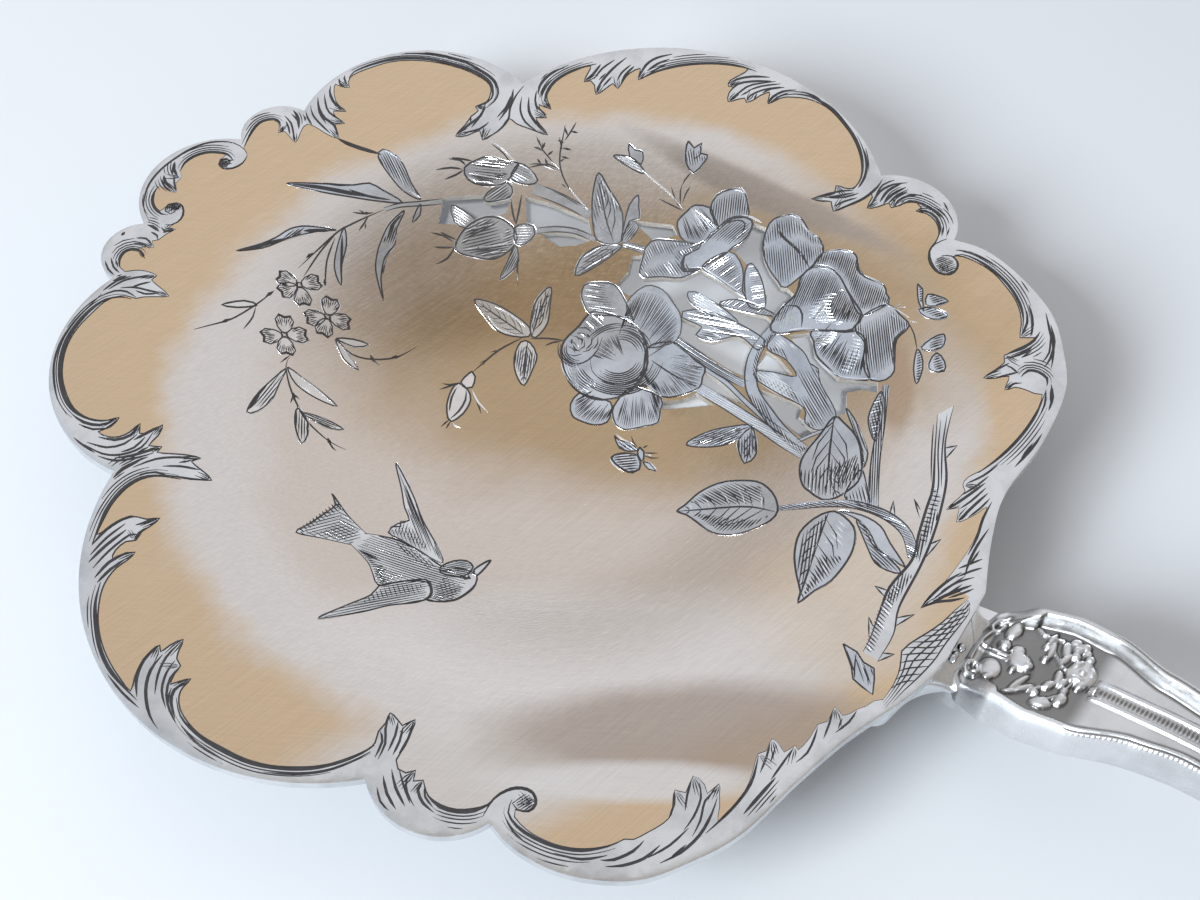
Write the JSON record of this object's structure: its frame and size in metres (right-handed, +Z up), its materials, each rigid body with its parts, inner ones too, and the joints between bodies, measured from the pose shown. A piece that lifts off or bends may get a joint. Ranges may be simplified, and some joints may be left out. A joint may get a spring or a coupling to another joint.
{
  "type": "serving spoon",
  "caption": "Strawberry serving spoon with a lobed, pierced and engraved dish-shaped bowl soldered to a stamped, filled handle that arches back to the table.",
  "frame": {"origin": "centre of the flat patch under the bowl, which rests on the table", "axes": "+X from the tip of the bowl towards the end of the handle, +Y to the side, +Z up"},
  "size_m": [0.2319, 0.0938, 0.0141],
  "materials": {
    "gilt_silver": "satin gilding with silver ornament",
    "silver": "polished silver with darkened recesses",
    "tang_steel": "plain",
    "cement": "matte"
  },
  "bodies": {
    "root": {"bowl": "gilt_silver", "heel_bracket": "silver", "neck_bolster": "silver", "tang": "tang_steel", "handle_front_shell": "silver", "handle_back_shell": "silver", "handle_filler": "cement"}
  },
  "joints": []
}
